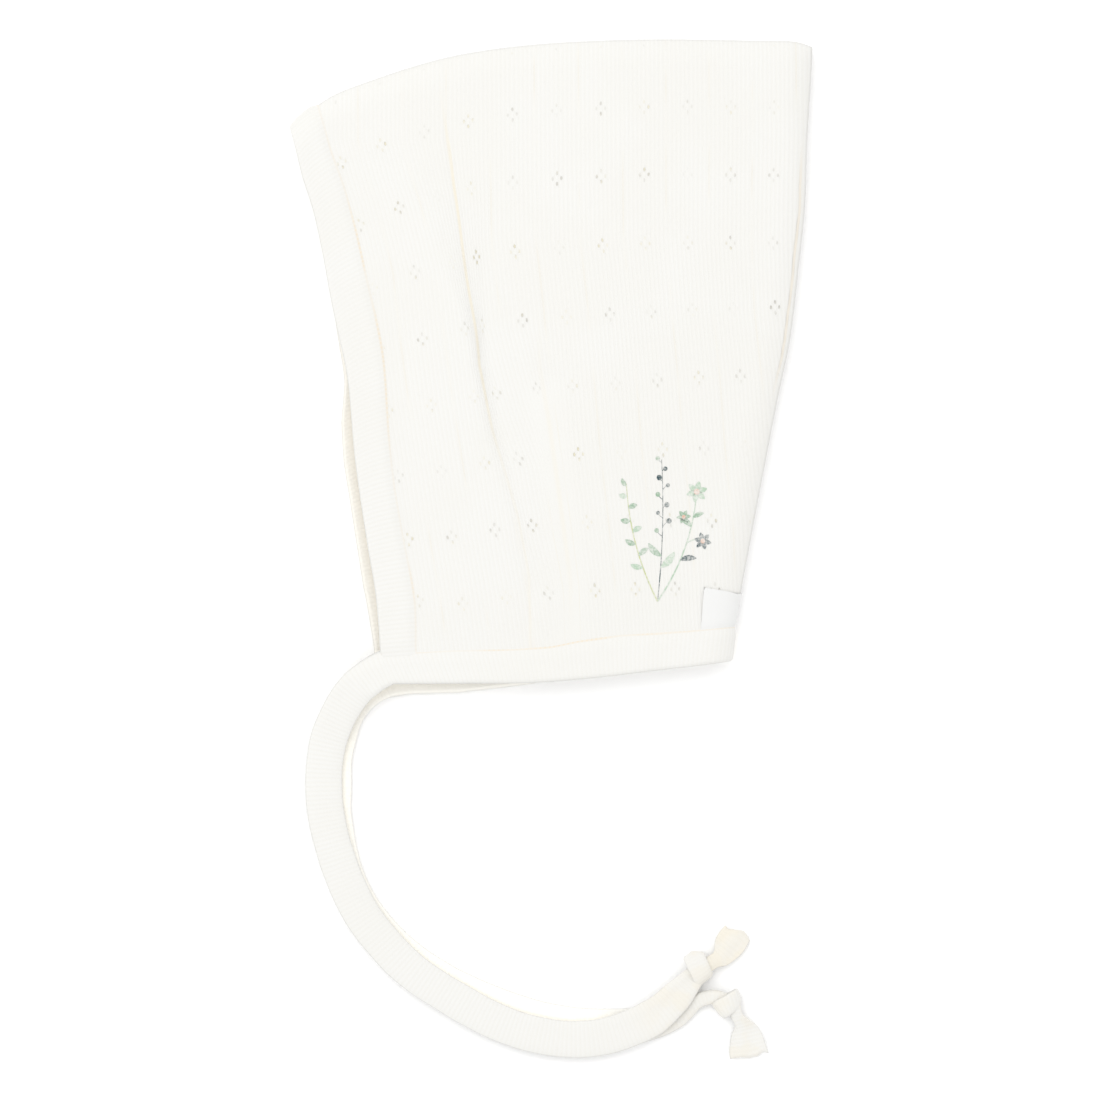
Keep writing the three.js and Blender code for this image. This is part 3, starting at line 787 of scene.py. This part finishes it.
def station_ends(run):
    """Arc lengths at the two ends of a binding that lies run away from the fold on each layer."""
    near, far = FOLD_RADIUS["near"], FOLD_RADIUS["far"]
    return -(run - near + near * QUARTER), run - far + far * QUARTER


def face_band_point(station, across):
    v = signed_run(station) / column_height(0)
    return surface("near" if station < 0 else "far", across / row_width(v), v)


def neck_band_point(station, across):
    u = 1 - signed_run(station) / row_width(1)
    return surface("near" if station < 0 else "far", u, 1 - across / column_height(u))


def back_fold_point(station, down):
    """A point by the back fold: round it at a place given in millimetres down the row of the label."""
    v = LABEL_TOP + down / column_height(0.95)
    return surface("near" if station < 0 else "far", 1 - signed_run(station) / row_width(v), v)


def binding_profile(t, width, puff):
    """Round a binding's section, t from 0 to 1: distance in from its outer edge, and offset from cloth."""
    edge = 0.17
    if t < edge or t > 1 - edge:
        angle = (t if t < edge else t - 1) / edge * QUARTER
        return puff * 0.9 * (1 - math.cos(angle)), puff * math.sin(angle)
    side = 1 if t < 0.5 else -1
    part = (t - edge) / (0.5 - edge) if t < 0.5 else (1 - edge - t) / (0.5 - edge)
    part = 1 - (1 - part) ** 1.7
    across = lerp(puff * 0.9, width, part)
    pinch = smooth((width - across) / 4.2)
    return across, side * lerp(CLOTH * 0.3, puff, pinch) * (1 - 0.1 * math.sin(math.pi * part))


class Binding:
    """A folded strip round one of the hood's edges, from its near end to its far end."""

    def __init__(self, point_at, ends, width_at, flip, end_taper):
        self.point_at = point_at
        self.ends = ends
        self.width_at = width_at
        self.flip = flip
        self.end_taper = end_taper

    def station(self, s):
        return lerp(*self.ends, s)

    def place(self, s, t):
        station = self.station(s)
        from_end = min(station - self.ends[0], self.ends[1] - station)
        puff = BINDING_HALF
        if self.end_taper:
            puff = lerp(0.75, BINDING_HALF, smooth(from_end / self.end_taper))
        across, offset = binding_profile(t, self.width_at(station) + EDGE_IN_SEAM, puff)
        point = off_surface(self.point_at, station, across, offset, self.flip)
        side = 3.1 if offset > 0 else 8.4
        wobble = noise.noise(Vector((station * 0.11, across * 0.2, side)))
        if point.z > 4:
            point.z += 0.12 * wobble * smooth(from_end / 6)
        return point

    def uv(self, s, t):
        station = self.station(s)
        across, _ = binding_profile(t, 1.0, 0.1)
        return station / RIB_PITCH, across

    def make(self, name, material, segments, node):
        bm = grid_mesh(segments, 36, self.place, self.uv, closed=True, seal=True)
        band = make_object(name, bm, material)
        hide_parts(node)
        return band


def round_section(t):
    """A soft flat section, t from 0 to 1: shares of its half width and half thickness."""
    angle = t * 2 * math.pi
    across = abs(math.cos(angle)) ** 0.6 * math.copysign(1, math.cos(angle))
    lift = abs(math.sin(angle)) ** 0.85 * math.copysign(1, math.sin(angle))
    return across, lift


def strip_share(across):
    """Where a place across a tie, from 1 to -1, lies across the strip's knit map."""
    return 0.43 - across * 0.42


def make_tie(name, route, widths, crease, start, up_sign, uv_start, material, seed):
    """A flat band along its route, that leaves the neck binding's end without a step."""
    curve = Curve(route)
    rings = 240

    def section_point(s, t):
        ahead = curve.ahead(s)
        side = Vector((-ahead.y, ahead.x, 0)).normalized()
        up = ahead.cross(side).normalized() * up_sign
        across, lift = round_section(t)
        half = TIE_WIDTH / 2 * read(widths, s)
        wobble = noise.noise(Vector((s * curve.length * 0.09, across * 0.8, seed)))
        thick = TIE_THICKNESS / 2 * (1 + 0.12 * wobble) * read(widths, s, 2)
        groove = crease * math.exp(-((across - 0.15) / 0.2) ** 2) * smooth((s - 0.84) / 0.1)
        top = thick * lift - (groove if lift > 0 else 0)
        edge = 0.16 * noise.noise(Vector((s * curve.length * 0.12, seed, math.copysign(4, across))))
        return curve.at(s) + side * across * (half + edge) + up * top

    def place(s, t):
        left = 1 - smooth(s * curve.length / 14)
        point = section_point(s, t)
        return point + (start(t) - section_point(0, t)) * left if left > 0 else point

    def uv(s, t):
        across, _ = round_section(t)
        return uv_start + s * curve.length / RIB_PITCH, strip_share(across)

    bm = grid_mesh(rings, 36, place, uv, closed=True, seal=True)
    tie = make_object(name, bm, material)
    path = []
    for i in range(rings + 1):
        ring = [place(i / rings, k / 36) for k in range(36)]
        path.append(sum(ring, Vector()) / 36 * MM)
    return tie, path, curve.length * MM


def make_wrap(name, middle, angle, half_long, half_wide, half_tall, taper, skew, nub, material, node):
    """The strand that wraps a knot: a soft flat ring round the tie, wider at the side that it comes from."""
    axis = Vector((math.cos(angle), math.sin(angle), 0))
    side = Vector((-math.sin(angle), math.cos(angle), 0))
    half_thick = 1.15

    def place(s, t):
        turn = s * 2 * math.pi
        across, lift = round_section(t)
        grow = 1 - taper * across
        seat = Vector((math.cos(turn) * 1.6, math.sin(turn) * 1.6, across * 1.4 + half_wide))
        wrinkle = 0.16 * noise.noise(seat)
        out = lift * half_thick + wrinkle
        out += nub * math.exp(-((turn - 0.2) / 0.35) ** 2 - ((across - 0.1) / 0.4) ** 2)
        wide = (half_wide - half_thick) * grow + out
        tall = (half_tall - half_thick) * grow + out
        along = half_long * across + skew * math.cos(turn)
        return middle + axis * along + side * math.cos(turn) * wide + Vector((0, 0, tall * math.sin(turn)))

    def uv(s, t):
        across, _ = round_section(t)
        return s * round(2 * math.pi * half_wide / RIB_PITCH), strip_share(across)

    bm = grid_mesh(64, 32, place, uv, closed=True)
    bmesh.ops.recalc_face_normals(bm, faces=bm.faces)
    wrap = make_object(name, bm, material)
    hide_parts(node)
    return wrap


def make_tail(name, edges, end, height, fold, material, node, seed):
    """A tie's short end past its knot: it spreads from the knot's neck to a ragged edge."""
    left, right = (Curve([spot(*p) for p in edge]) for edge in edges)

    def place(s, t):
        across, lift = round_section(t)
        a, b = left.at(s), right.at(s)
        middle = (a + b) / 2
        ahead = Vector((-(a - b).y, (a - b).x, 0)).normalized() * -1
        share = (1 - across) / 2
        ragged = 0.16 * noise.noise(Vector((share * 26, seed, 0.5)))
        reach = (read(end, share) + ragged) * smooth((s - 0.72) / 0.28)
        spread = smooth(s * 1.6)
        thick = lerp(1.5, 0.85, spread) * math.sqrt(max(1 - max((s - 0.94) / 0.06, 0.0) ** 2, 0.0))
        ripple = fold * math.sin(across * 4.2 + seed) * spread
        ripple += 0.25 * noise.noise(Vector((across * 1.5, s * 3, seed)))
        point = middle + (a - b) / 2 * across + ahead * reach
        point.z = lerp(height, 1.3, spread) + max(ripple, -0.25) + thick * lift
        return point

    def uv(s, t):
        across, _ = round_section(t)
        return s * left.length / RIB_PITCH, strip_share(across)

    bm = grid_mesh(52, 64, place, uv, closed=True, seal=True)
    bmesh.ops.recalc_face_normals(bm, faces=bm.faces)
    tail = make_object(name, bm, material)
    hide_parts(node)
    return tail


def make_label(material):
    """Blank tape, folded over the back seam and caught in the neck seam."""
    half_thick = 0.2

    def place(s, t):
        turn = t * 2
        top = turn <= 1
        down = (turn if top else 2 - turn) * LABEL_HEIGHT
        station = lerp(-LABEL_REACH - 0.12 * (LABEL_HEIGHT - down), LABEL_REACH * 0.5, s)
        tucked = 0.5 * smooth((down - 9.0) / 2.5)
        clear = CLOTH / 2 + half_thick + (half_thick if top else -half_thick) - tucked
        lean = -0.26 * min(station + 5, 0.0) * (1 - down / LABEL_HEIGHT)
        return off_surface(back_fold_point, station, down - lean, clear, LABEL_FLIP)

    def uv(s, t):
        return s * 60, t * 80

    bm = grid_mesh(56, 36, place, uv, closed=True, seal=True)
    bmesh.ops.recalc_face_normals(bm, faces=bm.faces)
    label = make_object("label_tape", bm, material)
    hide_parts("label")
    return label


SAGE = (0.30, 0.43, 0.31, 1)
PALE_SAGE = (0.42, 0.55, 0.42, 1)
TEAL = (0.045, 0.085, 0.095, 1)
LIME = (0.50, 0.55, 0.24, 1)
PEACH = (0.66, 0.42, 0.32, 1)


class Print:
    """Small inked shapes laid on the near side of the hood."""

    def __init__(self, hood):
        self.bm = bmesh.new()
        self.knit = self.bm.loops.layers.uv.new("knit")
        self.ink = self.bm.loops.layers.float_color.new("ink")
        self.tree = BVHTree.FromObject(hood, bpy.context.evaluated_depsgraph_get())

    def lay(self, point, lift):
        hit, normal, _, _ = self.tree.ray_cast(Vector((point.x, point.y, 30)) * MM, Vector((0, 0, -1)))
        return hit + Vector((0, 0, lift)) * MM

    def shape(self, start, end, bend, half_width, color, swell, lift=0.05, steps=12):
        """A shape along a bent spine; swell(s) gives its width's share along the spine."""
        made = bmesh.ops.create_grid(self.bm, x_segments=steps, y_segments=2, size=0.5)["verts"]
        side = Vector((start.y - end.y, end.x - start.x, 0)).normalized()
        middle = (start + end) / 2 + side * bend * 2
        knit = {}
        for vert in made:
            s, across = vert.co.x + 0.5, vert.co.y * 2
            spine = start * (1 - s) ** 2 + middle * 2 * s * (1 - s) + end * s * s
            ahead = (middle - start).lerp(end - middle, s).normalized()
            point = spine + Vector((-ahead.y, ahead.x, 0)) * across * half_width * swell(s)
            knit[vert] = knit_place("near", point.x, point.y, 0.8, 0.7)
            vert.co = self.lay(point, lift)
        faces = {f for vert in made for f in vert.link_faces}
        for face_made in faces:
            for loop in face_made.loops:
                loop[self.knit].uv = knit[loop.vert]
                loop[self.ink] = color
        self.bm.normal_update()
        if sum(f.normal.z for f in faces) < 0:
            bmesh.ops.reverse_faces(self.bm, faces=list(faces))

    def stem(self, start, end, bend, color, half_width=0.22):
        self.shape(start, end, bend, half_width, color, lambda s: 1 - 0.5 * s, 0.04, 26)

    def leaf(self, start, length, angle, half_width, color, bend=0.3):
        end = start + Vector((math.cos(angle), math.sin(angle), 0)) * length
        self.shape(start, end, bend, half_width, color,
                   lambda s: math.sin(math.pi * min(s * 0.97 + 0.02, 1)) ** 0.8)

    def dot(self, middle, radius, color, lift=0.07):
        reach = Vector((radius, 0, 0))
        self.shape(middle - reach, middle + reach, 0, radius, color,
                   lambda s: 2 * math.sqrt(max(s * (1 - s), 0.0)), lift, 10)

    def daisy(self, middle, radius, petal, heart, turn):
        for i in range(6):
            self.leaf(middle, radius, turn + i * math.pi / 3, radius * 0.27, petal, 0)
        self.dot(middle, radius * 0.28, heart, 0.09)


def stem_point(start, end, bend, s):
    side = Vector((start.y - end.y, end.x - start.x, 0)).normalized()
    return start.lerp(end, s) + side * bend * 4 * s * (1 - s)


def make_print(hood, material):
    """Three meadow sprigs: oval leaves, round berries and small daisies."""
    inks = Print(hood)
    foot = spot(657, 601)

    tip = spot(626, 484)
    inks.stem(foot, tip, 2.0, LIME)
    for i in range(7):
        s = 0.3 + i * 0.1
        place = stem_point(foot, tip, 2.0, s)
        away = 0.5 if i % 2 else 2.9
        inks.leaf(place, 4.6 - 2.2 * s, away + 0.2 * math.sin(i * 2.1), 0.85, SAGE if i % 3 else PALE_SAGE)
    inks.leaf(stem_point(foot, tip, 2.0, 0.98), 2.8, 2.1, 0.7, SAGE)

    tip = spot(661, 460)
    inks.stem(foot, tip, -0.9, TEAL, 0.16)
    for i in range(9):
        s = 0.46 + i * 0.065
        place = stem_point(foot, tip, -0.9, s)
        away = 0.75 if i % 2 else 2.35
        reach = 3.4 - 2.0 * s + 0.4 * math.sin(i * 1.7)
        berry = place + Vector((math.cos(away), math.sin(away), 0)) * reach
        inks.stem(place, berry, 0.2, TEAL, 0.11)
        inks.dot(berry, 0.72 + 0.12 * math.sin(i * 2.3), TEAL if i % 4 else SAGE)
    inks.leaf(stem_point(foot, tip, -0.9, 0.24), 6.4, 0.85, 1.15, PALE_SAGE, -0.5)
    inks.leaf(stem_point(foot, tip, -0.9, 0.32), 5.6, 2.35, 1.0, SAGE, 0.5)

    tip = spot(696, 492)
    inks.stem(foot, tip, -2.4, PALE_SAGE, 0.26)
    branch = stem_point(foot, tip, -2.4, 0.55)
    low = spot(702, 541)
    inks.stem(branch, low, 0.8, PALE_SAGE, 0.18)
    inks.leaf(stem_point(foot, tip, -2.4, 0.4), 5.0, 0.1, 0.9, TEAL, 0.4)
    inks.leaf(stem_point(foot, tip, -2.4, 0.7), 4.2, 2.5, 0.85, SAGE, -0.4)
    inks.leaf(stem_point(foot, tip, -2.4, 0.78), 3.6, 0.4, 0.75, SAGE, 0.3)
    inks.daisy(tip, 3.3, PALE_SAGE, PEACH, 0.3)
    inks.daisy(low, 2.7, TEAL, PEACH, 0.8)
    inks.daisy(spot(683, 517), 2.2, SAGE, PEACH, 0.1)

    return make_object("print_ink", inks.bm, material)


def make_floor():
    bm = bmesh.new()
    bmesh.ops.create_grid(bm, x_segments=1, y_segments=1, size=2.0)
    mesh = bpy.data.meshes.new("floor")
    bm.to_mesh(mesh)
    bm.free()
    floor = bpy.data.objects.new("floor", mesh)
    floor.location.z = -0.0002
    bpy.context.collection.objects.link(floor)
    mesh.materials.append(Material("floor_white").finish((0.97, 0.97, 0.97, 1), None, 0.9))


def make_light():
    """White all round, and one large soft lamp from the upper left."""
    world = bpy.data.worlds.new("studio")
    world.use_nodes = True
    world.node_tree.nodes["Background"].inputs[0].default_value = (1, 1, 1, 1)
    world.node_tree.nodes["Background"].inputs[1].default_value = 1.09
    bpy.context.scene.world = world
    data = bpy.data.lights.new("key", "AREA")
    data.size = 1.2
    data.energy = 7.0
    lamp = bpy.data.objects.new("key", data)
    lamp.location = (-0.5, 0.5, 1.5)
    lamp.rotation_euler = (-lamp.location).to_track_quat("-Z", "Y").to_euler()
    bpy.context.collection.objects.link(lamp)


def make_camera():
    """Straight down, framed as the photograph is."""
    data = bpy.data.cameras.new("camera")
    height = 2.0
    frame_width = 1100 * STEP * MM
    data.sensor_width = 36.0
    data.lens = data.sensor_width * height / frame_width
    camera = bpy.data.objects.new("camera", data)
    camera.location = (-0.0004, -0.0565, height)
    bpy.context.collection.objects.link(camera)
    bpy.context.scene.camera = camera


make_camera()
make_floor()
make_light()
view = bpy.context.scene.view_settings
view.view_transform = "Standard"
view.look = "None"

pointelle = pointelle_material()
end_binding = binding_material("binding_rib_ends", inner_rim=0.85, fold_shade_from=-500, fold_shade_amount=0.06)
near_end_binding = binding_material("binding_rib_near_end", inner_rim=0.85, fold_shade_from=-500, fold_shade_amount=0.38)
edge_binding = binding_material("binding_rib_edges", 500)
neck_binding = binding_material("binding_rib_neck", 500, IVORY_SHELTERED_PAINTED_LIGHT)

face_run = column_height(0) - BINDING_WIDTH + 4.2
front = Binding(
    face_band_point, station_ends(face_run),
    lambda station: read(FRONT_WIDTHS, signed_run(station) / column_height(0)), -1, 5.5,
)
around_neck = Binding(
    neck_band_point, station_ends(row_width(1)),
    lambda station: read(NECK_WIDTHS, 1 - signed_run(station) / row_width(1)), 1, 0,
)

near_ribs = around_neck.ends[0] / RIB_PITCH
near_binding = binding_material("binding_rib", inner_rim=0.85, fold_shade_from=near_ribs + 132)
near_tie, near_path, near_length = make_tie(
    "near_tie_band", NEAR_TIE_ROUTE, NEAR_TIE_WIDTHS, 0.8,
    lambda t: around_neck.place(0, t), 1, near_ribs, near_binding, 2.0,
)
far_ribs = around_neck.ends[1] / RIB_PITCH
far_binding = binding_material("binding_rib_far", far_ribs + 130, IVORY_SHELTERED_PAINTED_LIGHT, 0.85, far_ribs + 126)
far_tie, far_path, far_length = make_tie(
    "far_tie_band", FAR_TIE_ROUTE, FAR_TIE_WIDTHS, 0.3,
    lambda t: around_neck.place(1, t), -1, far_ribs, far_binding, 7.0,
)
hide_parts("near_tie")
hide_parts("far_tie")

near_knot = make_wrap("near_knot_wrap", spot(698.8, 967.0, 3.1), 0.5, 3.3, 4.9, 3.1, 0.16, 0.3, 0.9,
                      end_binding, "near_knot")
far_knot = make_wrap("far_knot_wrap", spot(727.8, 1003.8, 3.0), -1.2, 3.1, 4.2, 2.9, 0.28, -0.6, 0.5,
                     end_binding, "far_knot")
near_tail = make_tail("near_tail_cloth", NEAR_TAIL_EDGES, NEAR_TAIL_END, 3.1, 0.35,
                      near_end_binding, "near_tail", 1.4)
far_tail = make_tail("far_tail_cloth", FAR_TAIL_EDGES, FAR_TAIL_END, 2.9, 0.3,
                     end_binding, "far_tail", 3.3)

hood = make_hood(pointelle)
front_band = front.make("front_binding", edge_binding, 260, "front_band")
neck_band = around_neck.make("neck_binding", neck_binding, 230, "neck_band")
label = make_label(label_material())
bpy.context.view_layer.update()
prints = make_print(hood, print_material())

tuple(near_path[0])
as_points(near_path)
tuple(far_path[0])
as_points(far_path)
